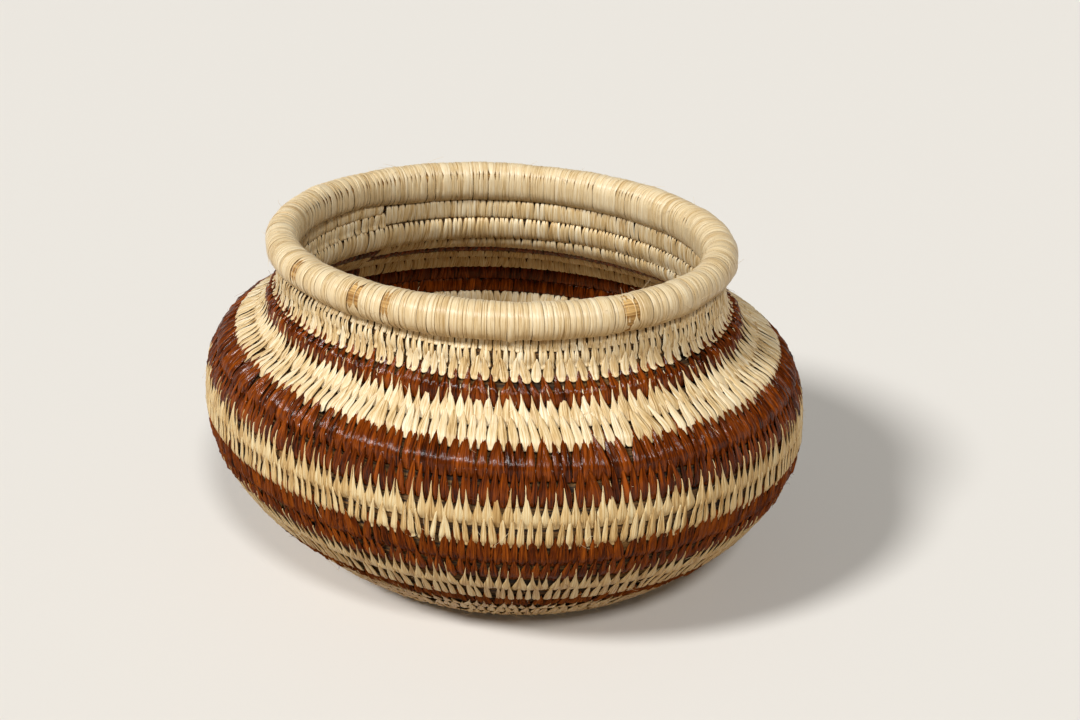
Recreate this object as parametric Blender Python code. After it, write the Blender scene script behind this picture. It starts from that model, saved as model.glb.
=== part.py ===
"""Coiled basket with a wide belly, a short neck and a thick rolled rim, in natural and brown bands.

Metres, Z up. The basket stands on z = 0 with its axis on the origin. One grass coil starts at the
centre of the base and climbs clockwise, seen from above. Every colour band is a stretch of it, and
the bands change at one seam, at the back left. The coil is a little thinner than the mean under
the belly and a little thicker over the shoulder. The brown turn under the neck is thickest and the
neck's turns are finest. The last one tapers out, so that the rim lies level on a wall that rises by
a row in each turn. Seen from above the basket is a little oval, as hand-made ones are.
"""
import math

import bpy
from mathutils import Vector
from mathutils.geometry import interpolate_bezier

# The wall, as the line that the middle of the coil follows: mean radius, and rise above the base
FOOT_RADIUS = 0.056
HEEL_RADIUS = 0.0790
HEEL_RISE = 0.0114
FLANK_RADIUS = 0.0988
FLANK_RISE = 0.0340
BELLY_RADIUS = 0.1045
BELLY_RISE = 0.0540
SHOULDER_RADIUS = 0.0966
SHOULDER_RISE = 0.0744
THROAT_RADIUS = 0.0788
THROAT_RISE = 0.0890
NECK_RADIUS = 0.0762
NECK_RISE = 0.1046

# The slope of the wall at those places, in degrees from level
HEEL_SLOPE = 44
FLANK_SLOPE = 62
BELLY_SLOPE = 90
SHOULDER_SLOPE = 137
THROAT_SLOPE = 113
NECK_SLOPE = 90

# The plan: how much longer and shorter than the mean its two axes are, and where the long one points
OVAL = 0.066
OVAL_ANGLE = math.radians(135)

# The coil, the rim and the clearances between neighbours
ROW_PITCH = 0.0073
BELLY_SWELL = 0.00095
SWELL_TURNS = 3.2
SWELL_TOP_TURN = -1.3
SHOULDER_COIL_DIAMETER = 0.0088
NECK_COIL_DIAMETER = 0.0044
CHANGING_TURNS = 0.375
TIP_DIAMETER = 0.0010
TURN_GAP = 0.0008
JOINT_GAP = 0.0003
KNOT_RADIUS = 0.0050
SEAM_ANGLE = math.radians(125)
RIM_DIAMETER = 0.0122
RIM_RADIUS = 0.0766
NECK_FULL_TURNS = 2

# How finely the round pieces are drawn
TURN_POINTS = 24
RIM_POINTS = 48
WALL_STEPS = 24

COIL_DIAMETER = ROW_PITCH - TURN_GAP
# The coil has six sides, with one underneath. It is pressed flat there by a tenth of its thickness.
FLOOR_TO_COIL = COIL_DIAMETER / 2 * math.cos(math.pi / 6) - COIL_DIAMETER / 10

NATURAL = (0.72, 0.56, 0.31)
BROWN = (0.155, 0.035, 0.010)

# Bands from the rim down to the base: name, turns, colour
BANDS = (
    ("brown_band_4", 1, BROWN),
    ("natural_band_3", 2, NATURAL),
    ("brown_band_3", 2, BROWN),
    ("natural_band_2", 2, NATURAL),
    ("brown_band_2", 2, BROWN),
    ("natural_band_1", 2, NATURAL),
    ("brown_band_1", 1, BROWN),
    ("heel_coil", 4, NATURAL),
)


def wall_line():
    """Points of the wall from the centre of the base to the rim, as (radius, height) vectors."""
    stations = [
        (FOOT_RADIUS, 0, 0),
        (HEEL_RADIUS, HEEL_RISE, HEEL_SLOPE),
        (FLANK_RADIUS, FLANK_RISE, FLANK_SLOPE),
        (BELLY_RADIUS, BELLY_RISE, BELLY_SLOPE),
        (SHOULDER_RADIUS, SHOULDER_RISE, SHOULDER_SLOPE),
        (THROAT_RADIUS, THROAT_RISE, THROAT_SLOPE),
        (NECK_RADIUS, NECK_RISE, NECK_SLOPE),
    ]
    points = [Vector((0, FLOOR_TO_COIL)), Vector((FOOT_RADIUS, FLOOR_TO_COIL))]
    for (r0, z0, slope0), (r1, z1, slope1) in zip(stations, stations[1:]):
        start = Vector((r0, z0 + FLOOR_TO_COIL))
        end = Vector((r1, z1 + FLOOR_TO_COIL))
        reach = (end - start).length / 3
        leaving = Vector((math.cos(math.radians(slope0)), math.sin(math.radians(slope0))))
        arriving = Vector((math.cos(math.radians(slope1)), math.sin(math.radians(slope1))))
        curve = interpolate_bezier(start, start + leaving * reach, end - arriving * reach, end, WALL_STEPS)
        points += curve[1:]
    return points


def coil(turn):
    """How far up the wall the middle of the coil lies, from BODY_END, and how thick it is.

    The turn is counted from the neck's start, and is negative below it. The base has even turns.
    Above them each turn lies on the one below. The coil thins and then swells once on its way over
    the belly, and changes its thickness soon after the seam in the thick turn and in the neck.
    Past the neck's full turns it fills what is left under the level rim.
    """
    if turn <= SWELL_TOP_TURN - 2 * SWELL_TURNS:
        return turn * ROW_PITCH, COIL_DIAMETER
    middle_below, diameter_below = coil(turn - 1)
    crest_below = middle_below + diameter_below / 2
    if turn <= SWELL_TOP_TURN:
        diameter = COIL_DIAMETER + BELLY_SWELL * math.sin(math.pi * (SWELL_TOP_TURN - turn) / SWELL_TURNS)
    elif turn <= -1:
        diameter = COIL_DIAMETER
    elif turn <= 0:
        changed = min((turn + 1) / CHANGING_TURNS, 1)
        diameter = COIL_DIAMETER + (SHOULDER_COIL_DIAMETER - COIL_DIAMETER) * changed
    elif turn <= NECK_FULL_TURNS:
        changed = min(turn / CHANGING_TURNS, 1)
        diameter = SHOULDER_COIL_DIAMETER + (NECK_COIL_DIAMETER - SHOULDER_COIL_DIAMETER) * changed
    else:
        full_middle, full_diameter = coil(NECK_FULL_TURNS)
        diameter = full_middle + full_diameter / 2 - crest_below - TURN_GAP
    return crest_below + TURN_GAP + diameter / 2, diameter


WALL = wall_line()
WALL_LENGTH = sum((b - a).length for a, b in zip(WALL, WALL[1:]))
LAST_FULL_TURN = coil(NECK_FULL_TURNS)
# Where on the wall an even coil would end its last turn before the neck
BODY_END = WALL_LENGTH - LAST_FULL_TURN[0] - LAST_FULL_TURN[1] / 2
# The coil's thin end, which lies against the knot at the centre of the base
TIP_CREST = KNOT_RADIUS + JOINT_GAP + TIP_DIAMETER
FIRST_TURN = (TIP_CREST - COIL_DIAMETER / 2 - BODY_END) / ROW_PITCH
FIRST_TURN = math.ceil(FIRST_TURN * TURN_POINTS) / TURN_POINTS


def on_wall(length):
    """Radius, height and slope of the wall at this distance along it from the centre of the base."""
    left = length
    for a, b in zip(WALL, WALL[1:]):
        step = (b - a).length
        if left <= step or b is WALL[-1]:
            along = (b - a) / step
            place = a + along * left
            return place.x, place.y, math.atan2(along.y, along.x)
        left -= step


def in_plan(radius, height, angle):
    """A place on the basket at this mean radius, on the oval plan."""
    radius *= 1 + OVAL * math.cos(2 * (angle - OVAL_ANGLE))
    return Vector((radius * math.cos(angle), radius * math.sin(angle), height))


def corner(turn):
    """A corner of the coil's many-sided path: its place, slope and diameter.

    The coil starts thin and lies against its own next turn until it is full. Where the wall runs
    outwards, the oval plan spreads the turns or draws them together, and the coil is that much
    thicker or thinner.
    """
    middle, full = coil(turn)
    diameter = min(full, TIP_DIAMETER + (turn - FIRST_TURN) * ROW_PITCH)
    radius, height, slope = on_wall(BODY_END + middle + (full - diameter) / 2)
    angle = SEAM_ANGLE - math.tau * turn
    stretch = 1 + OVAL * math.cos(2 * (angle - OVAL_ANGLE))
    spread = math.hypot(math.cos(slope) * stretch, math.sin(slope))
    return in_plan(radius, height, angle), slope, diameter * spread + TURN_GAP * (spread - 1)


def path(first, last):
    """Corners of the coil between two turns, with both ends in the middle of a straight side.

    The corners lie half a side away from the seam, so two stretches that meet there end in
    parallel faces, half the joint's gap back from it.
    """
    side = 1 / TURN_POINTS
    count = round((last - first) * TURN_POINTS)
    turns = [first + side * (i - 0.5) for i in range(count + 2)]
    corners = [corner(turn) for turn in turns]

    def cut_back(outer, inner):
        middle = (outer[0] + inner[0]) / 2
        inward = (inner[0] - outer[0]).normalized()
        return middle + inward * JOINT_GAP / 2, (outer[1] + inner[1]) / 2, (outer[2] + inner[2]) / 2

    return [cut_back(corners[0], corners[1])] + corners[1:-1] + [cut_back(corners[-1], corners[-2])]


def least_gap(corners):
    """The smallest gap from a stretch of coil to its own next turn, measured at its corners."""
    gaps = [ROW_PITCH]
    for i, (place, _, diameter) in enumerate(corners):
        for other, (a, _, other_diameter) in enumerate(corners[:-1]):
            if abs(other - i) < TURN_POINTS // 2:
                continue
            b = corners[other + 1][0]
            share = min(max((place - a).dot(b - a) / (b - a).length_squared, 0), 1)
            nearest = a + (b - a) * share
            gaps.append((place - nearest).length - (diameter + other_diameter) / 2)
    return min(gaps)


def material(name, colour, roughness):
    made = bpy.data.materials.new(name)
    made.use_nodes = True
    shader = made.node_tree.nodes["Principled BSDF"]
    shader.inputs["Base Color"].default_value = (*colour, 1)
    shader.inputs["Roughness"].default_value = roughness
    shader.inputs["Metallic"].default_value = 0
    return made


def add_object(name, data, colour, roughness=0.6):
    made = bpy.data.objects.new(name, data)
    bpy.context.scene.collection.objects.link(made)
    data.materials.append(material(name, colour, roughness))
    made.parent = basket
    return made


def coil_stretch(name, first, last, colour):
    """One unbroken tube of the coil, with two of its six edges towards the turns beside it."""
    corners = path(first, last)
    curve = bpy.data.curves.new(name, "CURVE")
    curve.dimensions = "3D"
    curve.twist_mode = "Z_UP"
    curve.bevel_depth = 1
    curve.bevel_resolution = 1
    curve.use_fill_caps = True
    spline = curve.splines.new("POLY")
    spline.points.add(len(corners) - 1)
    spline.use_smooth = True
    for point, (place, slope, diameter) in zip(spline.points, corners):
        point.co = (*place, 1)
        point.tilt = slope
        point.radius = diameter / 2
    made = add_object(name, curve, colour)
    print(f"{name}: {last - first:.1f} turns, least gap to itself {least_gap(corners) * 1000:.2f} mm")
    return made


def flat_underneath(stretch, floor_cutter):
    """Turns a coil stretch into a mesh and cuts its bottom off level with the floor."""
    name = stretch.name
    mesh = bpy.data.meshes.new_from_object(stretch)
    bpy.data.objects.remove(stretch)
    mesh.name = name
    piece = bpy.data.objects.new(name, mesh)
    bpy.context.scene.collection.objects.link(piece)
    piece.parent = basket
    weld = piece.modifiers.new("join_end_caps", "WELD")
    weld.merge_threshold = 0.00001
    cut = piece.modifiers.new("flat_base", "BOOLEAN")
    cut.operation = "DIFFERENCE"
    cut.solver = "EXACT"
    cut.object = floor_cutter


def ring_tube(name, radius, height, diameter, colour):
    """A closed tube about the basket's axis, on its oval plan."""
    curve = bpy.data.curves.new(name, "CURVE")
    curve.dimensions = "3D"
    curve.bevel_depth = diameter / 2
    curve.bevel_resolution = 4
    spline = curve.splines.new("POLY")
    spline.points.add(RIM_POINTS - 1)
    spline.use_cyclic_u = True
    spline.use_smooth = True
    for i, point in enumerate(spline.points):
        point.co = (*in_plan(radius, height, math.tau * i / RIM_POINTS), 1)
    return add_object(name, curve, colour, roughness=0.5)


def turned(name, outline, steps, colour):
    """A solid of revolution about Z from an outline that runs down its outer side, top to bottom."""
    mesh = bpy.data.meshes.new(name)
    mesh.from_pydata([(r, 0, z) for r, z in outline], [(i, i + 1) for i in range(len(outline) - 1)], [])
    made = add_object(name, mesh, colour)
    spin = made.modifiers.new("turned", "SCREW")
    spin.steps = steps
    spin.render_steps = steps
    spin.use_merge_vertices = True
    spin.merge_threshold = 0.00001
    return made


for old in list(bpy.data.objects):
    bpy.data.objects.remove(old)

basket = bpy.data.objects.new("basket", None)
bpy.context.scene.collection.objects.link(basket)

# The coil, from the rim down
taper_turns = (COIL_DIAMETER - TIP_DIAMETER) / ROW_PITCH
coil_stretch("neck_coil", 0, NECK_FULL_TURNS + taper_turns, NATURAL)
band_top = 0
for band_name, turns, colour in BANDS:
    coil_stretch(band_name, band_top - turns, band_top, colour)
    band_top -= turns
coil_stretch("base_coil", FIRST_TURN, band_top, NATURAL)

# The knot at the centre of the base, where the coil starts
knot_radius = KNOT_RADIUS * (1 - OVAL)
knot_top = FLOOR_TO_COIL + COIL_DIAMETER / 2
knot_edge = knot_radius / 3
turned(
    "start_knot",
    [
        (0, knot_top),
        (knot_radius - knot_edge, knot_top),
        (knot_radius, knot_top - knot_edge),
        (knot_radius, knot_edge),
        (knot_radius - knot_edge, 0),
        (0, 0),
    ],
    TURN_POINTS,
    NATURAL,
)

# The rim, a thick wrapped bundle that lies level on the top of the neck
neck_radius, neck_top, _ = on_wall(WALL_LENGTH)
rim_lift = math.sqrt((RIM_DIAMETER / 2 + JOINT_GAP) ** 2 - (RIM_RADIUS - neck_radius) ** 2)
ring_tube("rim_roll", RIM_RADIUS, neck_top + rim_lift, RIM_DIAMETER, NATURAL)

# A guide that trims the coil level where the basket stands
cutter_mesh = bpy.data.meshes.new("floor_cutter")
half = 2 * BELLY_RADIUS
depth = COIL_DIAMETER
cutter_mesh.from_pydata(
    [(x, y, z) for x in (-half, half) for y in (-half, half) for z in (-depth, 0)],
    [],
    [(0, 1, 3, 2), (4, 6, 7, 5), (0, 4, 5, 1), (2, 3, 7, 6), (0, 2, 6, 4), (1, 5, 7, 3)],
)
floor_cutter = bpy.data.objects.new("floor_cutter", cutter_mesh)
bpy.context.scene.collection.objects.link(floor_cutter)
floor_cutter.hide_render = True
floor_cutter.display_type = "WIRE"
flat_underneath(bpy.data.objects["base_coil"], floor_cutter)
flat_underneath(bpy.data.objects["heel_coil"], floor_cutter)
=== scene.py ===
import math

import bpy
import numpy as np
from mathutils import Matrix, Vector
from mathutils.geometry import interpolate_bezier


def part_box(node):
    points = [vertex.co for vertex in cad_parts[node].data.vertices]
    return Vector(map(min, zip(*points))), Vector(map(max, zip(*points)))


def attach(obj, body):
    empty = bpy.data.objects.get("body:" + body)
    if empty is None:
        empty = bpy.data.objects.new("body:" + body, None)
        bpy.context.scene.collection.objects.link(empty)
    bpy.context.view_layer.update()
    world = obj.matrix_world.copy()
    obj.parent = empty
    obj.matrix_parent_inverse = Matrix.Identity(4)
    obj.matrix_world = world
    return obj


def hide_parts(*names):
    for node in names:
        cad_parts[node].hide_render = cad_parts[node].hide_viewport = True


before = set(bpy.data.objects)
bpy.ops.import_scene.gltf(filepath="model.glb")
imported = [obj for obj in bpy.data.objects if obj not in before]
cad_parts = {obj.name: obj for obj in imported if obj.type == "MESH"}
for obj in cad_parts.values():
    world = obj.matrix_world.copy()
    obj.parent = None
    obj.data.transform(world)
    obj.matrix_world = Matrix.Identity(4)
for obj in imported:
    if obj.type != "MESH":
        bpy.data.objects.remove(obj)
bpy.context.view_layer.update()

# The grass coil
# One bundle of dry grass, as thick as a pencil, wound in a spiral that starts at the centre of the
# base and climbs clockwise to the neck. The leaf strips hide most of it. It shows in the creases
# and between stitches as tan stems with near-black lines, the near-black being painted shade for
# those creases and gaps, and it gives every row its round bulge.

# The wall that the middle of the coil follows: mean radius and rise in mm, slope in degrees
WALL_STATIONS = (
    (56.0, 0.0, 0),
    (79.0, 11.4, 44),
    (98.8, 34.0, 62),
    (104.5, 54.0, 90),
    (96.6, 74.4, 137),
    (78.8, 89.0, 113),
    (76.2, 104.6, 90),
)
STATION_STEPS = 24
# Beyond the last station the wall goes straight up under the rim
STRAIGHT_TOP = 5

# Sizes in mm. Turns are counted upwards from the foot of the neck.
ROW_PITCH = 7.3
TURN_GAP = 0.8
COIL_THICKNESS = ROW_PITCH - TURN_GAP
# The upper rows of the belly are a little thicker, and those under them a little thinner
BELLY_SWELL = 0.95
SWELL_TURNS = 3.2
SWELL_TOP_TURN = -1.3
# At the shoulder and at the neck the thickness changes over part of a turn
SHOULDER_THICKNESS = 8.8
NECK_THICKNESS = 4.4
CHANGING_TURNS = 0.375
# After the neck's full turns the coil tapers out
NECK_TURNS = 2
TIP_THICKNESS = 1.0
# The coil starts beside the knot in the middle of the base
KNOT_RADIUS = 5.0
KNOT_GAP = 0.3
POINTS_A_TURN = 24
# Whole turns begin at this angle, and the colours change there
SEAM_ANGLE = math.radians(125)
# Seen from above the basket is oval. Its radius is this much more than the mean in one direction,
# and as much less across it.
OVAL = 0.066
OVAL_ANGLE = math.radians(135)
# The coil is pressed flat where the basket stands
COIL_HEIGHT = COIL_THICKNESS / 2 * math.cos(math.pi / 6) - COIL_THICKNESS / 10

# Each band's CAD node, its first and last turn counted from the foot of the neck, and its colour
BANDS = (
    ("neck_coil", 0, 3, "natural"),
    ("brown_band_4", -1, 0, "brown"),
    ("natural_band_3", -3, -1, "natural"),
    ("brown_band_3", -5, -3, "brown"),
    ("natural_band_2", -7, -5, "natural"),
    ("brown_band_2", -9, -7, "brown"),
    ("natural_band_1", -11, -9, "natural"),
    ("brown_band_1", -12, -11, "brown"),
    ("heel_coil", -16, -12, "natural"),
    ("base_coil", -30, -16, "natural"),
)

rng = np.random.default_rng(41)


def wall_table():
    """Length along the wall from the middle of the base, with the radius, height and slope there."""
    points = [Vector((0, COIL_HEIGHT))]
    r0, z0, slope0 = WALL_STATIONS[0]
    points.append(Vector((r0, z0 + COIL_HEIGHT)))
    for r1, z1, slope1 in WALL_STATIONS[1:]:
        start = Vector((r0, z0 + COIL_HEIGHT))
        end = Vector((r1, z1 + COIL_HEIGHT))
        reach = (end - start).length / 3
        leaving = Vector((math.cos(math.radians(slope0)), math.sin(math.radians(slope0)))) * reach
        arriving = Vector((math.cos(math.radians(slope1)), math.sin(math.radians(slope1)))) * reach
        points += interpolate_bezier(start, start + leaving, end - arriving, end, STATION_STEPS)[1:]
        r0, z0, slope0 = r1, z1, slope1
    line = np.array([tuple(p) for p in points])
    lengths = np.concatenate([[0], np.cumsum(np.linalg.norm(np.diff(line, axis=0), axis=1))])
    lengths = np.append(lengths, lengths[-1] + STRAIGHT_TOP)
    line = np.vstack([line, line[-1] + (0, STRAIGHT_TOP)])
    steps = np.diff(line, axis=0)
    slopes = np.unwrap(np.arctan2(steps[:, 1], steps[:, 0]))
    middles = (lengths[1:] + lengths[:-1]) / 2
    return lengths, line[:, 0], line[:, 1], np.interp(lengths, middles, slopes)


WALL_AT, WALL_R, WALL_Z, WALL_SLOPE = wall_table()
WALL_LENGTH = WALL_AT[-1] - STRAIGHT_TOP


def coil(turn):
    """Where the coil's middle lies along the wall, from BODY_END, and its thickness, at this turn."""
    if turn <= SWELL_TOP_TURN - 2 * SWELL_TURNS:
        return turn * ROW_PITCH, COIL_THICKNESS
    middle, thickness = coil(turn - 1)
    crest = middle + thickness / 2
    if turn <= SWELL_TOP_TURN:
        swelling = math.sin(math.pi * (SWELL_TOP_TURN - turn) / SWELL_TURNS)
        thickness = COIL_THICKNESS + BELLY_SWELL * swelling
    elif turn <= -1:
        thickness = COIL_THICKNESS
    elif turn <= 0:
        change = min((turn + 1) / CHANGING_TURNS, 1)
        thickness = COIL_THICKNESS + (SHOULDER_THICKNESS - COIL_THICKNESS) * change
    elif turn <= NECK_TURNS:
        change = min(turn / CHANGING_TURNS, 1)
        thickness = SHOULDER_THICKNESS + (NECK_THICKNESS - SHOULDER_THICKNESS) * change
    else:
        full_middle, full_thickness = coil(NECK_TURNS)
        thickness = full_middle + full_thickness / 2 - crest - TURN_GAP
    return crest + TURN_GAP + thickness / 2, thickness


LAST_FULL = coil(NECK_TURNS)
BODY_END = WALL_LENGTH - LAST_FULL[0] - LAST_FULL[1] / 2
FIRST_TURN = (KNOT_RADIUS + KNOT_GAP + TIP_THICKNESS - COIL_THICKNESS / 2 - BODY_END) / ROW_PITCH
FIRST_TURN = math.ceil(FIRST_TURN * POINTS_A_TURN) / POINTS_A_TURN
LAST_TURN = NECK_TURNS + (COIL_THICKNESS - TIP_THICKNESS) / ROW_PITCH

# A table of where the coil lies along the wall, and how thick it is
TURNS = np.linspace(FIRST_TURN, LAST_TURN, 2600)
MIDDLES = np.empty_like(TURNS)
THICKNESSES = np.empty_like(TURNS)
for i, turn in enumerate(TURNS):
    middle, full = coil(turn)
    THICKNESSES[i] = min(full, TIP_THICKNESS + (turn - FIRST_TURN) * ROW_PITCH)
    MIDDLES[i] = BODY_END + middle + (full - THICKNESSES[i]) / 2


def stretch(angle):
    """How much longer than the mean the basket's radius is in this direction."""
    return 1 + OVAL * np.cos(2 * (angle - OVAL_ANGLE))


def place(length, lift, angle, floor=0.0):
    """Points in mm at this length along the wall, lifted off its middle towards the outside."""
    slope = np.interp(length, WALL_AT, WALL_SLOPE)
    radius = np.interp(length, WALL_AT, WALL_R) * stretch(angle) + lift * np.sin(slope)
    height = np.interp(length, WALL_AT, WALL_Z) - lift * np.cos(slope)
    height = np.maximum(height, floor)
    return np.stack([radius * np.cos(angle), radius * np.sin(angle), height], -1)


def up_the_wall(turn, rows):
    """The length along the wall this many rows above the middle of the coil at this turn."""
    here = np.interp(turn, TURNS, MIDDLES)
    above = np.where(turn + 1 < LAST_TURN, np.interp(turn + 1, TURNS, MIDDLES), here + NECK_THICKNESS)
    below = np.interp(turn - 1, TURNS, MIDDLES)
    return np.where(rows > 0, here + rows * (above - here), here + rows * (here - below))


def tube_faces(rings, around):
    """Faces of a closed tube of this many rings, with flat ends."""
    faces = []
    for ring in range(rings - 1):
        for side in range(around):
            a = ring * around + side
            b = ring * around + (side + 1) % around
            faces.append((a, b, b + around, a + around))
    faces.append(tuple(range(around))[::-1])
    faces.append(tuple(range((rings - 1) * around, rings * around)))
    return faces


def add_tubes(name, points, strip, body_material):
    """One object of closed tubes: points and strip coordinates have the shape (tube, ring, side, 3)."""
    count, rings, around, _ = points.shape
    pattern = tube_faces(rings, around)
    size = rings * around
    faces = []
    for tube in range(count):
        start = tube * size
        faces += [tuple(start + corner for corner in face) for face in pattern]
    mesh = bpy.data.meshes.new(name)
    mesh.from_pydata((points.reshape(-1, 3) * 0.001).tolist(), [], faces)
    grain = mesh.attributes.new("strip", "FLOAT_VECTOR", "POINT")
    grain.data.foreach_set("vector", strip.reshape(-1).astype(np.float32))
    mesh.shade_smooth()
    mesh.materials.append(body_material)
    made = bpy.data.objects.new(name, mesh)
    bpy.context.scene.collection.objects.link(made)
    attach(made, "root")
    return made


def srgb(code):
    """A linear colour from its sRGB hex code."""
    parts = [int(code[i:i + 2], 16) / 255 for i in (1, 3, 5)]
    return (*[p / 12.92 if p <= 0.04045 else ((p + 0.055) / 1.055) ** 2.4 for p in parts], 1)


def add_node(tree, kind, links=(), **settings):
    """Adds a node with its settings. Links and values are given as (input, socket or value)."""
    node = tree.nodes.new(kind)
    for key, value in settings.items():
        setattr(node, key, value)
    for name, value in links:
        if isinstance(value, bpy.types.NodeSocket):
            tree.links.new(value, node.inputs[name])
        else:
            node.inputs[name].default_value = value
    return node


def new_material(name, roughness, ior):
    """A new material, with its node tree and its shader."""
    made = bpy.data.materials.new(name)
    made.use_nodes = True
    shader = made.node_tree.nodes["Principled BSDF"]
    shader.inputs["Roughness"].default_value = roughness
    shader.inputs["IOR"].default_value = ior
    return made, made.node_tree, shader


# Dry grass stems, unpeeled and matt. The eye sees fine lines along the coil, dark in the creases.
STEM_WIDTH = 0.7


def grass_material(name, dark, light):
    made, tree, shader = new_material(name, 0.8, 1.45)
    along_coil = add_node(tree, "ShaderNodeAttribute", attribute_name="strip")
    stems = add_node(tree, "ShaderNodeVectorMath", [(0, along_coil.outputs["Vector"]),
                                                    (1, (1 / STEM_WIDTH, 0.03, 9))], operation="MULTIPLY")
    lines = add_node(tree, "ShaderNodeTexNoise",
                     [("Vector", stems.outputs[0]), ("Scale", 1.0), ("Detail", 2.0)])
    shades = add_node(tree, "ShaderNodeValToRGB", [("Fac", lines.outputs["Fac"])])
    shades.color_ramp.elements[0].position = 0.40
    shades.color_ramp.elements[0].color = srgb(dark)
    shades.color_ramp.elements[1].position = 0.70
    shades.color_ramp.elements[1].color = srgb(light)
    tree.links.new(shades.outputs["Color"], shader.inputs["Base Color"])
    relief = add_node(tree, "ShaderNodeBump",
                      [("Height", lines.outputs["Fac"]), ("Strength", 0.5), ("Distance", 0.0003)])
    tree.links.new(relief.outputs["Normal"], shader.inputs["Normal"])
    return made


# The body's stems run from tan to near black. The near-black is painted shade for the creases and gaps
# where the coil shows between stitches.
grass = grass_material("dry_grass_stems_with_painted_crease_shade", "#221306", "#8A6230")

# One thick tube stands for the bundle, with the ridges of its stems winding slowly round it
CORE_SIDES = 18
RINGS_A_TURN = 120
RIDGES = 8
RIDGE_DEPTH = 0.10
RIDGE_TWIST = 40
# How far the tube stays inside the sewing, and short of the next turn
CORE_SINK = 0.6
CORE_GAP = 0.05
# The belly's radius, by which turns become mm along the coil
MEAN_RADIUS = 95
around = np.linspace(0, math.tau, CORE_SIDES, endpoint=False)
for band, first, last, colour in BANDS:
    first, last = max(first, FIRST_TURN), min(last, LAST_TURN)
    rings = int((last - first) * RINGS_A_TURN) + 1
    turn = np.linspace(first, last, rings)[:, None]
    half = np.interp(turn, TURNS, THICKNESSES) / 2
    stem_ridges = RIDGE_DEPTH * np.sin(around * RIDGES + turn * RIDGE_TWIST) * np.minimum(half / 3, 1)
    across = (half + TURN_GAP / 2 - CORE_GAP + stem_ridges) * np.sin(around)
    lift = (half - CORE_SINK + stem_ridges) * np.cos(around)
    angle = SEAM_ANGLE - math.tau * turn + 0 * across
    points = place(np.interp(turn, TURNS, MIDDLES) + across, lift, angle, floor=0.5)
    mm_along = turn * math.tau * MEAN_RADIUS + 0 * across
    strip = np.stack([3 * around + 0 * across, mm_along, 0 * across], -1)
    core = add_tubes(band + "_grass", points[None], strip[None], grass)
    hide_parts(band)

# The sewing
# Strips split from young palm leaf, about 3 mm wide, undyed or dyed brown. Each stitch comes out
# through the row above, where it is squeezed to a point, widens as it comes down over its own row,
# and turns in under it with a rounded end. The bands are the stretches sewn in one colour.

# Strip of palm leaf: silky lines along it, line_width mm apart, which is a little coarser than they
# are, so that they show
def leaf_material(name, dark, middle, light, stain, stained_share,
                  roughness, gloss, line_depth, line_width):
    made, tree, shader = new_material(name, roughness, 1.48)
    shader.inputs["Specular IOR Level"].default_value = gloss
    where = add_node(tree, "ShaderNodeAttribute", attribute_name="strip")
    # Both patterns are drawn out along the strip, and each strip has its own
    drawn_out = add_node(tree, "ShaderNodeVectorMath",
                         [(0, where.outputs["Vector"]), (1, (1 / line_width, 0.11, 61))],
                         operation="MULTIPLY")
    lines = add_node(tree, "ShaderNodeTexNoise", [("Vector", drawn_out.outputs[0]), ("Scale", 1.0),
                                                  ("Detail", 3.0), ("Roughness", 0.6)])
    broad = add_node(tree, "ShaderNodeVectorMath", [(0, where.outputs["Vector"]),
                                                    (1, (0.4, 0.12, 23))], operation="MULTIPLY")
    patches = add_node(tree, "ShaderNodeTexNoise",
                       [("Vector", broad.outputs[0]), ("Scale", 1.0), ("Detail", 2.0)])
    parts = add_node(tree, "ShaderNodeSeparateXYZ", [("Vector", where.outputs["Vector"])])
    # A little of the tone goes by strip, since each comes from another leaf
    part_of_tone = add_node(tree, "ShaderNodeMath",
                            [(0, lines.outputs["Fac"]), (1, 0.86)], operation="MULTIPLY")
    tone = add_node(tree, "ShaderNodeMath", [(0, parts.outputs["Z"]), (1, 0.14),
                                             (2, part_of_tone.outputs[0])], operation="MULTIPLY_ADD")
    shades = add_node(tree, "ShaderNodeValToRGB", [("Fac", tone.outputs[0])])
    shades.color_ramp.elements[0].position = 0.30
    shades.color_ramp.elements[0].color = srgb(dark)
    shades.color_ramp.elements[1].position = 0.68
    shades.color_ramp.elements[1].color = srgb(light)
    shades.color_ramp.elements.new(0.46).color = srgb(middle)
    stained = add_node(tree, "ShaderNodeMapRange",
                       [("Value", patches.outputs["Fac"]), ("From Min", 0.56), ("From Max", 0.80),
                        ("To Min", 0.0), ("To Max", stained_share)])
    colour = add_node(tree, "ShaderNodeMix", [(0, stained.outputs["Result"]), (6, shades.outputs["Color"]),
                                              (7, srgb(stain))], data_type="RGBA")
    tree.links.new(colour.outputs[2], shader.inputs["Base Color"])
    relief = add_node(tree, "ShaderNodeBump",
                      [("Height", lines.outputs["Fac"]), ("Strength", line_depth), ("Distance", 0.0002)])
    tree.links.new(relief.outputs["Normal"], shader.inputs["Normal"])
    return made


# Undyed leaf is cream with straw lines and tan stains, and has a silky gloss
natural_leaf = leaf_material(
    "undyed_palm_leaf_strip", dark="#97703A", middle="#DABD88", light="#F4E9CC", stain="#B88A48",
    stained_share=0.5, roughness=0.38, gloss=0.36, line_depth=0.8, line_width=0.32)
# Dyed leaf is a deep red-brown with nearly black lines, and shines where it bends
brown_leaf = leaf_material(
    "brown_dyed_palm_leaf_strip", dark="#100400", middle="#562102", light="#94470E", stain="#200A01",
    stained_share=0.5, roughness=0.15, gloss=0.18, line_depth=1.3, line_width=0.5)
# Low down the brown strips are rubbed and have lost their shine
rubbed_leaf = leaf_material(
    "rubbed_brown_palm_leaf_strip", dark="#100400", middle="#5E2603", light="#994E12", stain="#200A01",
    stained_share=0.5, roughness=0.50, gloss=0.09, line_depth=1.3, line_width=0.5)
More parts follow.
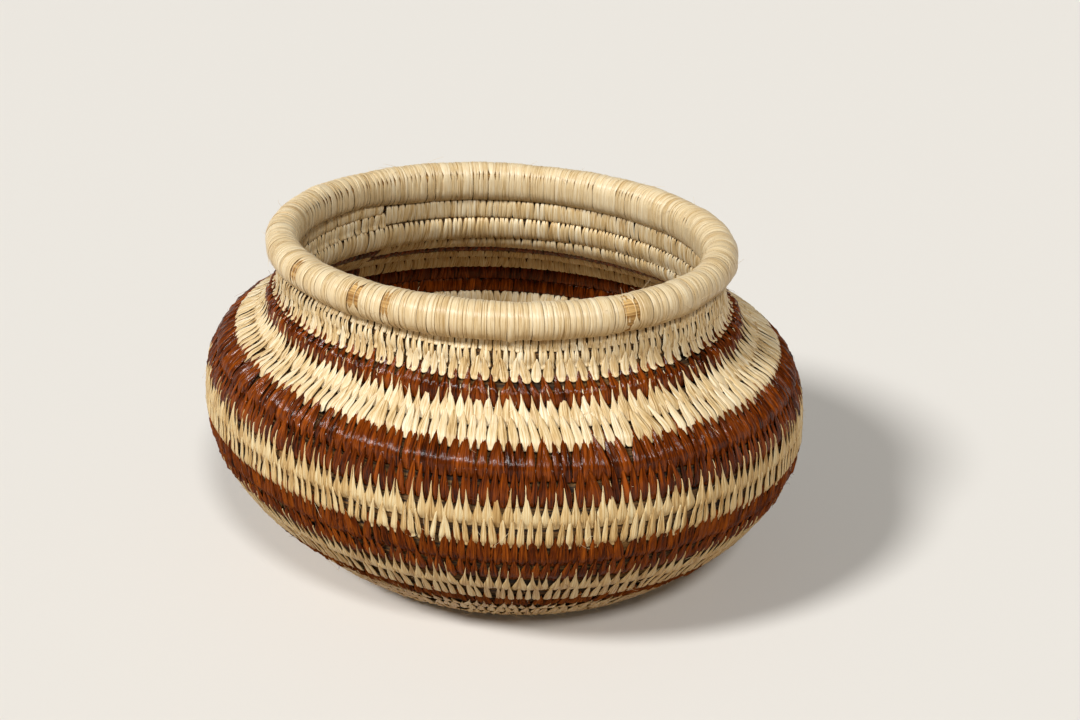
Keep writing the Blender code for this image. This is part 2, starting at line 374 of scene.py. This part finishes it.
# The lowest brown row is dusty and faded
dusty_leaf = leaf_material(
    "dusty_brown_palm_leaf_strip", dark="#241004", middle="#743A12", light="#A8652C", stain="#3A1C0A",
    stained_share=0.4, roughness=0.75, gloss=0.03, line_depth=1.0, line_width=0.5)
LEAF = {"natural": natural_leaf, "brown": brown_leaf}
# Below the middle of the belly the undyed strips are drawn darker and yellower
darker_yellower_leaf = leaf_material(
    "darker_yellower_palm_leaf_strip", dark="#8C632A", middle="#D2B077", light="#EBDBB0", stain="#AA7836",
    stained_share=0.5, roughness=0.42, gloss=0.3, line_depth=0.9, line_width=0.32)
OUTER_LEAF = {"brown_band_1": dusty_leaf, "brown_band_2": rubbed_leaf, "natural_band_2": darker_yellower_leaf,
              "natural_band_1": darker_yellower_leaf, "heel_coil": darker_yellower_leaf, "base_coil": darker_yellower_leaf}

# Across a strip: nine points over its crowned face and two underneath
ACROSS = np.array([-1, -0.8, -0.55, -0.28, 0, 0.28, 0.55, 0.8, 1, 0.6, -0.6])
FACE = np.array([1, 1, 1, 1, 1, 1, 1, 1, 1, 0, 0])
STRIP_THICKNESS = 0.3
# A strip is pressed flat on the floor, its face down
FLOOR_LIFT = np.where(FACE == 1, 0.05, 0.35)
# How far the creases between rows sink, outside and inside
OUTSIDE_CREASE = 0.40
INSIDE_CREASE = 0.28
# How sharply two rows meet, and how broad the crown of a row is
MEETING = 5
CROWN_POWER = 2.6
# From this turn down little is seen, and every other ring of a stitch is enough
UNDERSIDE_TURN = -12


def sewn_height(turn, length, crease):
    """How far the sewing stands off the middle line of the wall, over the four nearest rows."""
    total = 0
    for row in (-1, 0, 1, 2):
        here = np.clip(turn + row, FIRST_TURN, LAST_TURN)
        thick = np.interp(here, TURNS, THICKNESSES)
        apart = np.abs(length - np.interp(here, TURNS, MIDDLES)) / ((thick + TURN_GAP) / 2)
        crown = 1 - crease * np.minimum(apart, 1.7) ** CROWN_POWER
        total = total + np.exp(MEETING * thick / 2 * crown)
    return np.log(total) / MEETING


def stitch_turns(first, last, pitches):
    """Turns at which the stitches sit, at an uneven pitch in mm that changes from turn to turn."""
    turns = []
    turn = first
    while turn < last:
        turns.append(turn)
        length = np.interp(turn, TURNS, MIDDLES)
        radius = np.interp(length, WALL_AT, WALL_R)
        # A strip that has split leaves a thin one beside it
        thin = 0.45 if rng.uniform() < 0.10 else 1.0
        # The maker took them a little wider apart on the left
        leftward = max(-math.cos(SEAM_ANGLE - math.tau * turn), 0)
        pitch = np.interp(turn, *pitches) * rng.uniform(0.84, 1.18) * thin * (1 + 0.16 * leftward)
        turn += pitch / (math.tau * radius)
    return np.array(turns)


def band_colour(turns):
    """The colour, as 1 for brown, of the row at each turn."""
    brown = np.zeros(len(turns))
    for _, first, last, colour in BANDS:
        if colour == "brown":
            brown[(turns >= first) & (turns < last)] = 1
    return brown


def strip_coordinates(mm_width, along, lift):
    """Where each point lies across and along its strip in mm, and a random number for each strip."""
    by_strip = rng.uniform(0, 1, (len(lift), 1, 1))
    return np.stack([mm_width[..., None] * ACROSS, along[..., None] + 0 * lift, by_strip + 0 * lift], -1)


def fewer_rings(turn, points, strip):
    """The same stitches with every other ring, where they lie on the underside."""
    return (points[:, ::2], strip[:, ::2]) if turn[-1, 0] < UNDERSIDE_TURN else (points, strip)


# The first stitch comes a little after the coil's tip
SEWN_FROM = FIRST_TURN + 0.3
# Turns, and the pitch of the stitches in mm there
OUTSIDE_PITCH = ([-16, -9, -4, -3, -1, 0, 0.05, 1, 1.05],
                 [3.2, 2.75, 2.7, 2.95, 2.95, 2.8, 3.15, 3.15, 2.15])
outside = stitch_turns(SEWN_FROM, LAST_TURN, OUTSIDE_PITCH)
count = len(outside)
brown_here = band_colour(outside) == 1
brown_above = band_colour(outside + 1) == 1
brown_below = band_colour(outside - 1) == 1
into_brown = ~brown_here & brown_above
into_natural = brown_here & ~brown_above
# The neck's second turn, right under the rim
topmost = outside > 1
# How many rows above its own each stitch's point reaches: far into the other colour, and unevenly
reach = rng.uniform(0.82, 1.08, count)
reach[into_brown] = rng.uniform(0.84, 1.38, into_brown.sum())
reach[into_natural] = rng.uniform(0.84, 1.18, into_natural.sum())
reach[brown_here & brown_above] *= 0.88
reach[topmost] = rng.uniform(0.9, 1.1, topmost.sum())
# Each point lies in the nearest gap between two stitches of the row above
gaps = (outside[1:] + outside[:-1]) / 2
nearest = np.clip(np.searchsorted(gaps, outside + 1), 1, len(gaps) - 1)
left_gap, right_gap = gaps[nearest - 1], gaps[nearest]
gap = np.where(np.abs(left_gap - outside - 1) < np.abs(right_gap - outside - 1), left_gap, right_gap)
one_pitch = np.gradient(outside)
lean = np.clip(gap - outside - 1, -0.6 * one_pitch, 0.6 * one_pitch)
lean = lean + rng.normal(0, 0.12, count) * one_pitch
lean[topmost] *= 0.4

# The rings of a stitch, from its lower end to its point, and how wide it is there in several shapes
STEPS = np.array([0, 0.025, 0.06, 0.11, 0.18, 0.27, 0.37, 0.47, 0.57, 0.67, 0.76, 0.84, 0.91, 0.96, 1.0])
KNOTS = [0, 0.03, 0.08, 0.18, 0.35, 0.48, 0.60, 0.73, 0.86, 0.95, 1.0]
SPIKE = np.interp(STEPS, KNOTS, [0.60, 0.86, 0.98, 1.0, 0.92, 0.63, 0.38, 0.22, 0.13, 0.07, 0.02])
DROP = np.interp(STEPS, KNOTS, [0.10, 0.36, 0.62, 0.88, 1.0, 0.94, 0.80, 0.60, 0.38, 0.20, 0.06])
FINGER = np.interp(STEPS, KNOTS, [0.50, 0.82, 0.97, 1.0, 1.0, 0.95, 0.86, 0.70, 0.48, 0.28, 0.10])
FAN = np.interp(STEPS, KNOTS, [0.66, 0.90, 0.98, 1.0, 1.0, 0.92, 0.74, 0.48, 0.28, 0.15, 0.04])
WEDGE = np.interp(STEPS, KNOTS, [0.66, 0.90, 0.98, 1.0, 1.0, 0.96, 0.86, 0.64, 0.38, 0.20, 0.05])
BLUNT = np.interp(STEPS, KNOTS, [0.46, 0.76, 0.90, 0.98, 1.0, 0.97, 0.88, 0.72, 0.50, 0.34, 0.20])
shape = np.where(into_brown[:, None], SPIKE, FINGER)
shape = np.where((outside[:, None] > 0) & (outside[:, None] < 1), DROP, shape)
wide_top = (into_natural & (outside < -1))[:, None]
shape = np.where(brown_here[:, None], np.where(wide_top, WEDGE, FAN), shape)
shape = np.where(topmost[:, None], BLUNT, shape)
# Most strips touch their neighbours. Dark gaps stand open in the neck, and brown points fill the
# gaps left in the lowest natural row of a band.
fill = np.where(brown_here, rng.uniform(1.00, 1.24, count), rng.uniform(1.14, 1.38, count))
fill[brown_here & (outside > -1)] *= 1.08
lowest_natural = ~brown_here & brown_below
fill[lowest_natural] = rng.uniform(0.66, 0.92, lowest_natural.sum())
fill[lowest_natural & (outside > -3.5)] *= 1.24
fill[topmost] = rng.uniform(0.80, 1.06, topmost.sum())
fill[(outside > -16) & (outside < -12)] *= 0.80
# How far a strip sags between the crest of its row and its point
SAG = 0.18


def outside_stitches(pick):
    """Points and strip coordinates of the picked stitches on the outside."""
    turn = outside[pick][:, None]
    n = len(turn)
    bottom = np.interp(turn, TURNS, MIDDLES) - np.interp(turn, TURNS, THICKNESSES) / 2 - TURN_GAP / 2
    bottom = bottom - rng.uniform(0.5, 1.1, (n, 1)) - np.where((turn > 1) & (turn < 2), 0.9, 0)
    top = up_the_wall(turn, reach[pick][:, None])
    at = turn + lean[pick][:, None] * STEPS ** 1.3
    length = bottom + (top - bottom) * STEPS
    height = sewn_height(at, length, OUTSIDE_CREASE)
    # From the crest of its row a strip is drawn tight over the crease to where it goes in above
    own = np.interp(turn, TURNS, MIDDLES)
    crest = np.interp(turn, TURNS, THICKNESSES) / 2
    past = np.clip((length - own) / (top - own), 0, 1)
    proud = np.where(into_brown[pick], 0.85, np.where(into_natural[pick], 0.2, 0.35))[:, None]
    tight = crest + (height[:, -1:] + proud - crest) * past - SAG * np.sin(math.pi * past)
    height = np.where(past > 0, np.maximum(height, tight), height) + rng.uniform(-0.09, 0.09, (n, 1))
    height = height - 0.6 * (1 - np.minimum(STEPS / 0.07, 1)) ** 1.6 - 0.4 * STEPS ** 14
    # The ends of a row lie over the brown points that come up between them
    over = np.where(brown_below[pick], np.where(brown_here[pick], 0.2, 0.5), 0)[:, None]
    height = height + over * np.exp(-(STEPS / 0.36) ** 4)
    half_width = 0.5 * one_pitch[pick] * fill[pick]
    # Dyed strips are drier and have ragged edges
    ragged = rng.normal(0, 1, (n, len(STEPS))) * np.where(brown_here[pick], 0.07, 0.03)[:, None]
    width = half_width[:, None] * shape[pick] * (1 + ragged)
    radius = np.interp(length, WALL_AT, WALL_R)
    mm_width = width * math.tau * radius
    side_turn = at[..., None] + width[..., None] * ACROSS
    depth = np.where(brown_here[pick], 0.23, 0.095)[:, None, None]
    ridges = rng.normal(0, 1, (n, 1, len(ACROSS))) + rng.normal(0, 0.4, (n, len(STEPS), len(ACROSS)))
    ridges = ridges * depth * (1 - ACROSS ** 4)
    tilt = rng.normal(0, 0.08, (n, 1, 1)) * ACROSS
    crown = np.where(brown_here[pick], 0.34, 0.26)[:, None, None] * (1 - ACROSS ** 2)
    full = np.sqrt(np.minimum(mm_width / 1.4, 1.2))[..., None]
    face = height[..., None] + STRIP_THICKNESS + full * (crown + ridges + tilt)
    lift = np.where(FACE == 1, face, height[..., None])
    angle = SEAM_ANGLE - math.tau * side_turn
    points = place(length[..., None] + 0 * lift, lift, angle, floor=FLOOR_LIFT)
    strip = strip_coordinates(mm_width, length - bottom, lift)
    return fewer_rings(turn, points, strip)


INSIDE_PITCH = ([-16, -9, -2, 0, 2], [3.2, 2.7, 2.4, 1.9, 1.9])
inside = stitch_turns(SEWN_FROM, NECK_TURNS, INSIDE_PITCH)
inside_pitch = np.gradient(inside)
INSIDE_STEPS = np.linspace(-1.06, 1.06, 11)
INSIDE_SHAPE = np.array([0.7, 0.9, 0.98, 1, 1, 1, 1, 0.98, 0.92, 0.78, 0.5])


def inside_stitches(pick):
    """Points and strip coordinates of the picked stitches on the inside, each round its own row."""
    turn = inside[pick][:, None]
    n = len(turn)
    slant = rng.normal(0.10, 0.12, (n, 1)) * inside_pitch[pick][:, None]
    at = turn + slant * INSIDE_STEPS
    half_row = (np.interp(turn, TURNS, THICKNESSES) + TURN_GAP) / 2
    middle = np.interp(turn, TURNS, MIDDLES)
    length = middle + half_row * INSIDE_STEPS
    height = sewn_height(at, length, INSIDE_CREASE)
    # Under the rim each strip also covers the lower half of the neck's last turn
    top = np.interp(turn + 1, TURNS, MIDDLES)
    taller = (middle - half_row + top) / 2 + (top - middle + half_row) / 2 * INSIDE_STEPS
    flattened = 1 - 0.30 * np.abs(INSIDE_STEPS) ** CROWN_POWER
    bridging = np.interp(turn, TURNS, THICKNESSES) / 2 * flattened + 0.1
    under_rim = (turn > 1) & (turn < LAST_TURN - 1)
    length = np.where(under_rim, taller, length)
    height = np.where(under_rim, bridging, height) + rng.uniform(-0.08, 0.08, (n, 1))
    height = height - 0.35 * np.maximum(np.abs(INSIDE_STEPS) - 0.85, 0) / 0.21
    width = (0.5 * inside_pitch[pick] * rng.uniform(1.08, 1.28, n))[:, None] * INSIDE_SHAPE
    radius = np.interp(length, WALL_AT, WALL_R)
    mm_width = width * math.tau * radius
    side_turn = at[..., None] - width[..., None] * ACROSS
    ridges = rng.normal(0, 0.06, (n, 1, len(ACROSS))) * (1 - ACROSS ** 4)
    face = height[..., None] + STRIP_THICKNESS + 0.3 * (1 - ACROSS ** 2) + ridges
    lift = -np.where(FACE == 1, face, height[..., None])
    angle = SEAM_ANGLE - math.tau * side_turn
    points = place(length[..., None] + 0 * lift, lift, angle, floor=0.05)
    strip = strip_coordinates(mm_width, np.abs(length - length[:, :1]), lift)
    return fewer_rings(turn, points, strip)


HAIR_RINGS = 9
HAIR_SIDES = 5
HAIR_THICKNESS = 0.13


def hair_tubes(path, thickness):
    """Thin tapering tubes along paths in mm of the shape (hair, ring, 3)."""
    forward = np.gradient(path, axis=1)
    forward = forward / np.linalg.norm(forward, axis=-1, keepdims=True)
    side = np.cross(forward, (0.31, 0.42, 0.85))
    side = side / np.linalg.norm(side, axis=-1, keepdims=True)
    upward = np.cross(side, forward)
    round_hair = np.linspace(0, math.tau, HAIR_SIDES, endpoint=False)[:, None]
    radius = (thickness / 2 * (1 - 0.6 * np.linspace(0, 1, HAIR_RINGS)))[:, None, None]
    ring = side[:, :, None] * np.cos(round_hair) + upward[:, :, None] * np.sin(round_hair)
    points = path[:, :, None] + ring * radius
    strip = np.zeros_like(points)
    strip[..., 1] = np.linspace(0, 5, HAIR_RINGS)[:, None]
    strip[..., 2] = rng.uniform(0.3, 0.9, (len(path), 1, 1))
    return points, strip


def loose_fibres(first, last, number):
    """Fibres that have split off the strips of these turns and stand off the wall in a curve."""
    turn = rng.uniform(first, last, (number, 1))
    t = np.linspace(0, 1, HAIR_RINGS)
    size = rng.uniform(2.5, 7.0, (number, 1))
    heading = rng.normal(0.2, 0.8, (number, 1)) + rng.normal(0, 0.9, (number, 1)) * t
    up = rng.choice([-1, 1], (number, 1))
    start = np.interp(turn, TURNS, MIDDLES) + rng.uniform(-3, 3, (number, 1))
    length = start + up * size * np.cos(heading) * t
    radius = np.interp(length, WALL_AT, WALL_R)
    at = turn + size * np.sin(heading) * t / (math.tau * radius)
    lift = sewn_height(turn, start, OUTSIDE_CREASE) + 0.4 + rng.uniform(0.3, 2.2, (number, 1)) * t ** 1.4
    return hair_tubes(place(length, lift, SEAM_ANGLE - math.tau * at, floor=0.1), HAIR_THICKNESS)


FIBRES_A_TURN = 50


for band, first, last, colour in BANDS:
    points, strip = outside_stitches((outside >= first) & (outside < last))
    sewn = add_tubes(band + "_stitches", points, strip, OUTER_LEAF.get(band, LEAF[colour]))
    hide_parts(band)
    # On the inside each strip lies on the row below its outside stitch
    lowest = FIRST_TURN if band == "base_coil" else first - 1
    highest = LAST_TURN if band == "neck_coil" else last - 1
    points, strip = inside_stitches((inside >= lowest) & (inside < highest))
    sewn = add_tubes(band + "_stitches_inside", points, strip, LEAF[colour])
    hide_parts(band)
    if band != "base_coil":
        points, strip = loose_fibres(first, min(last, LAST_TURN - 0.4), FIBRES_A_TURN * (last - first))
        fibres = add_tubes(band + "_fibres", points, strip, LEAF[colour])
        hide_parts(band)

# The start of the coil
# The first few stems are bent into a small tight button at the centre of the base, and wrapped
# over from its middle outwards. Hidden in the photograph.
knot_low, knot_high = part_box("start_knot")
button_z = (knot_low.z + knot_high.z) / 2 * 1000
button_half = (knot_high.z - knot_low.z) / 2 * 1000
button_radius = (knot_high.x - knot_low.x) / 2 * 1000
WRAPS = 17
# Each wrap runs from below over the side to the top, nearly from pole to pole
over = np.linspace(math.radians(-84), math.radians(84), 15)
wrap_angle = np.linspace(0, math.tau, WRAPS, endpoint=False)[:, None, None]
wrap_angle = wrap_angle + rng.uniform(-0.05, 0.05, (WRAPS, 1, 1))
ring_radius = button_radius * (0.12 + 0.86 * np.cos(over))[None, :, None]
ring_height = button_z + button_half * 0.92 * np.sin(over)[None, :, None]
rise = np.where(FACE == 1, 0.2 + 0.25 * (1 - ACROSS ** 2), 0)
spoke = wrap_angle + ACROSS * math.pi / WRAPS * 0.98
outward = ring_radius + rise * np.cos(over)[None, :, None]
points = np.stack([outward * np.cos(spoke), outward * np.sin(spoke),
                   np.maximum(ring_height + rise * np.sin(over)[None, :, None], 0.1) + 0 * spoke], -1)
strip = np.stack([ring_radius * ACROSS * 0.18 + 0 * spoke,
                  (over * button_radius)[None, :, None] + 0 * spoke,
                  rng.uniform(0, 1, (WRAPS, 1, 1)) + 0 * spoke * ring_radius], -1)
button = add_tubes("start_knot_wrapping", points, strip, natural_leaf)
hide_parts("start_knot")

# The rim
# A thicker bundle of grass laid on the top of the neck and bound all round with wider, smoother
# strips side by side, 1 to 4 mm wide. A few have shrunk apart and show the stems.
RIM_RADIUS = 76.6
RIM_HALF = 12.2 / 2
rim_low, rim_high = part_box("rim_roll")
RIM_HEIGHT = (rim_low.z + rim_high.z) / 2 * 1000
RIM_SIDES = 22
RIM_RINGS = 540
rim_turn = np.linspace(0, math.tau, RIM_RINGS, endpoint=True)[:, None]
round_rim = np.linspace(0, math.tau, RIM_SIDES, endpoint=False)
stem_ridges = 0.12 * np.sin(round_rim * 11 + rim_turn * 30)
# Where the binding stands open, as angles round the rim in degrees, the stems have spread a little
WORN = (209.0, 232.5, 243.0, 298.5)
spread = sum(np.exp(-((np.degrees(rim_turn) - worn) / 1.6) ** 4) for worn in WORN)
tube = RIM_HALF - 0.80 + 0.60 * spread + stem_ridges
out = RIM_RADIUS * stretch(rim_turn) + tube * np.cos(round_rim)
points = np.stack([out * np.cos(rim_turn), out * np.sin(rim_turn),
                   RIM_HEIGHT + tube * np.sin(round_rim)], -1)
strip = np.stack([5 * round_rim + 0 * out, rim_turn * 80 + 0 * out, 0 * out], -1)
# The rim's stems are golden, without the painted crease shade of the body's stems, so that gold
# shows where the binding stands open
straw = grass_material("golden_grass_stems", "#8A5E26", "#DFB673")
rim_core = add_tubes("rim_grass", points[None], strip[None], straw)
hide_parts("rim_roll")

# Angle round the rim, angle round the roll, and height in mm of two knots
KNOBS = ((272.4, -60, 0.8), (148.0, 95, 0.6))
edges = [0.0]
while edges[-1] < math.tau * RIM_RADIUS - 0.8:
    width = rng.choice([1.1, 1.6, 2.1, 2.8, 3.9], p=[0.2, 0.3, 0.25, 0.17, 0.08]) * rng.uniform(0.9, 1.1)
    edges.append(edges[-1] + width)
edges = np.array(edges) / edges[-1] * math.tau
binding_middle = (edges[1:] + edges[:-1]) / 2
binding_half = np.diff(edges) / 2
count = len(binding_middle)
# Each strip goes round from under the rim, over the outside and the top and down the inside, where
# it runs on over the neck's last turn
ROUND_STEPS = 22
DOWN_STEPS = 5
ROUND = np.radians(np.concatenate([np.linspace(-100, 180, ROUND_STEPS), [180] * DOWN_STEPS]))
DOWN = np.concatenate([np.zeros(ROUND_STEPS), np.linspace(0, 1, DOWN_STEPS + 1)[1:]])
last_turn = np.mod((SEAM_ANGLE - binding_middle) / math.tau, 1) + NECK_TURNS
covered = WALL_LENGTH - np.interp(np.minimum(last_turn, LAST_TURN), TURNS, MIDDLES)
covered = np.where(last_turn > LAST_TURN, 0.4, np.maximum(covered, 0.4))
# Neighbouring strips end at nearly the same height
SMOOTHED = 12
smooth = np.hanning(2 * SMOOTHED + 1) / np.hanning(2 * SMOOTHED + 1).sum()
covered = np.convolve(np.concatenate([covered[-SMOOTHED:], covered, covered[:SMOOTHED]]), smooth, "valid")
turning = np.linspace(-0.5, 0.5, len(ROUND))
# Narrow slits have opened between many of the strips where they turn down to the inside
slit = np.exp(-((np.degrees(ROUND) - 156) / 13) ** 2)
slit_side = np.cos(binding_middle - math.radians(60)) > -0.2
has_slit = rng.uniform(0, 1, count) < np.where(slit_side, 0.75, 0.15)
squeeze = 1 - 0.42 * has_slit[:, None] * slit * rng.uniform(0.5, 1.2, (count, 1))
half = (binding_half * 1.08)[:, None] * squeeze
# At the worn places a strip has shrunk to a thread over the outside and the top
for worn in WORN:
    spots = np.abs(binding_middle - math.radians(worn)) < math.radians(rng.uniform(1.1, 1.7))
    half[spots] *= 1 - 0.97 * np.exp(-((np.degrees(ROUND) - 30) / 40) ** 6)
half = half[..., None]
slant = (math.radians(0.6) * rng.uniform(0.2, 1.8, count))[:, None, None]
angle = binding_middle[:, None, None] + slant * turning[None, :, None] + half * ACROSS
mm_half = half * RIM_RADIUS
ridges = rng.normal(0, 0.03, (count, 1, len(ACROSS))) * (1 - ACROSS ** 4)
# Each strip laps a little over the next, and the roll is lumpy
lapped = 0.08 * ACROSS + rng.uniform(-0.07, 0.07, (count, 1, 1))
lumps = 0.14 * np.sin(3 * angle + 1) + 0.13 * np.sin(7 * angle + 2) + 0.11 * np.sin(13 * angle)
lumps = lumps + 0.08 * np.sin(29 * angle + 2 * ROUND[None, :, None])
# A knot of leaf under the front of the roll, and one on top at the back
for at, below, bulge in KNOBS:
    beside = ((np.degrees(angle) - at) / 1.3) ** 2
    lumps = lumps + bulge * np.exp(-beside - ((np.degrees(ROUND) - below) / 24)[None, :, None] ** 2)
face = RIM_HALF - 0.12 + 0.13 * np.sqrt(mm_half / 0.8) * (1 - ACROSS ** 2)
face = face + ridges + lapped + lumps
tube = np.where(FACE == 1, face, RIM_HALF - 0.48 + lumps)
drop = (RIM_HALF + covered + 0.4)[:, None, None] * DOWN[None, :, None]
towards_wall = (RIM_HALF - 2.7) * DOWN[None, :, None] ** 4
out = RIM_RADIUS * stretch(angle) + tube * np.cos(ROUND)[None, :, None] + towards_wall
rise = tube * np.sin(ROUND)[None, :, None] - drop
points = np.stack([out * np.cos(angle), out * np.sin(angle), RIM_HEIGHT + rise + 0 * out], -1)
strip = np.stack([mm_half * ACROSS + 0 * out,
                  (ROUND * RIM_HALF)[None, :, None] + drop + 0 * out,
                  rng.uniform(0, 1, (count, 1, 1)) + 0 * out], -1)
# The binding's leaf is smooth and even, with a soft highlight along the rim
binding_leaf = leaf_material(
    "palm_leaf_binding", dark="#A98650", middle="#DBC192", light="#EEDEBC", stain="#BE955A",
    stained_share=0.45, roughness=0.33, gloss=0.46, line_depth=0.8, line_width=0.3)
binding = add_tubes("rim_binding", points, strip, binding_leaf)
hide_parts("rim_roll")
# Fibres stand off the outside, the top and the inside of the binding
FIBRES = 90
hair = np.linspace(0, 1, HAIR_RINGS)
hair_angle = rng.uniform(0, math.tau, (FIBRES, 1)) + rng.normal(0, 0.05, (FIBRES, 1)) * hair
hair_round = np.radians(rng.uniform(-40, 190, (FIBRES, 1)) + rng.uniform(-30, 50, (FIBRES, 1)) * hair)
hair_tube = RIM_HALF + rng.uniform(0.4, 3.0, (FIBRES, 1)) * hair ** 1.3
out = RIM_RADIUS * stretch(hair_angle) + hair_tube * np.cos(hair_round)
path = np.stack([out * np.cos(hair_angle), out * np.sin(hair_angle),
                 RIM_HEIGHT + hair_tube * np.sin(hair_round)], -1)
rim_fibres = add_tubes("rim_fibres", *hair_tubes(path, 0.12), binding_leaf)
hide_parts("rim_roll")

# The studio
# A plain pale floor, a soft lamp in front on the left, a weaker one high in front, and a pale room
# all round. The lamps stand far off, so that the floor is lit evenly.
floor_mesh = bpy.data.meshes.new("floor")
FLOOR_REACH = 60
corners = [(x * FLOOR_REACH, y * FLOOR_REACH, 0) for x, y in ((-1, -1), (1, -1), (1, 1), (-1, 1))]
floor_mesh.from_pydata(corners, [], [(0, 1, 2, 3)])
floor = bpy.data.objects.new("floor", floor_mesh)
bpy.context.scene.collection.objects.link(floor)
paint, tree, shader = new_material("pale_matt_floor", 0.9, 1.45)
# The pale colour is for the eye and for gloss. Less light comes back from it to the basket.
sight = add_node(tree, "ShaderNodeLightPath")
seen = add_node(tree, "ShaderNodeMath", [(0, sight.outputs["Is Camera Ray"]),
                                         (1, sight.outputs["Is Glossy Ray"])], operation="MAXIMUM")
seen = add_node(tree, "ShaderNodeMath", [(0, seen.outputs[0]),
                                         (1, sight.outputs["Is Transmission Ray"])], operation="MAXIMUM")
shade = add_node(tree, "ShaderNodeMix", [(0, seen.outputs[0]), (6, srgb("#8A7048")),
                                         (7, srgb("#E4E0D9"))], data_type="RGBA")
tree.links.new(shade.outputs[2], shader.inputs["Base Color"])
floor_mesh.materials.append(paint)


def add_lamp(name, towards, softness, strength):
    """A far-off lamp in this direction, as wide as the angle softness in degrees."""
    data = bpy.data.lights.new(name, "SUN")
    data.angle = math.radians(softness)
    data.energy = strength
    lamp = bpy.data.objects.new(name, data)
    lamp.location = towards
    lamp.rotation_euler = Vector(towards).to_track_quat("Z", "Y").to_euler()
    bpy.context.scene.collection.objects.link(lamp)


add_lamp("key_lamp", (-1.80, -1.26, 2.08), softness=11.5, strength=2.75)
add_lamp("second_lamp", (0.45, -1.86, 2.00), softness=10.5, strength=1.55)
world = bpy.data.worlds.new("pale_room")
world.use_nodes = True
background = world.node_tree.nodes["Background"]
background.inputs["Color"].default_value = srgb("#F0ECE4")
# The room is as pale as the floor near the horizon and dim higher up
looking = add_node(world.node_tree, "ShaderNodeTexCoord")
upward = add_node(world.node_tree, "ShaderNodeSeparateXYZ", [("Vector", looking.outputs["Generated"])])
glow = add_node(world.node_tree, "ShaderNodeMapRange",
                [("Value", upward.outputs["Z"]), ("From Min", 0.12), ("From Max", 0.28),
                 ("To Min", 1.0), ("To Max", 0.12)])
world.node_tree.links.new(glow.outputs["Result"], background.inputs["Strength"])
bpy.context.scene.world = world
bpy.context.scene.view_settings.view_transform = "Standard"

# The camera
# A 50 mm lens a little over half a metre away, looking down at the basket from the front.
camera_data = bpy.data.cameras.new("camera")
camera_data.sensor_width = 36
camera_data.lens = 50
camera = bpy.data.objects.new("camera", camera_data)
bpy.context.scene.collection.objects.link(camera)
# Rows: the camera's right, up and backward directions, as measured from the photograph
facing = Matrix(((0.99961, -0.02744, 0.00515), (0.00625, 0.39959, 0.91667), (-0.02721, -0.91628, 0.39961)))
camera.matrix_world = Matrix.Translation((0, -0.5062, 0.2871)) @ facing.transposed().to_4x4()
bpy.context.scene.camera = camera
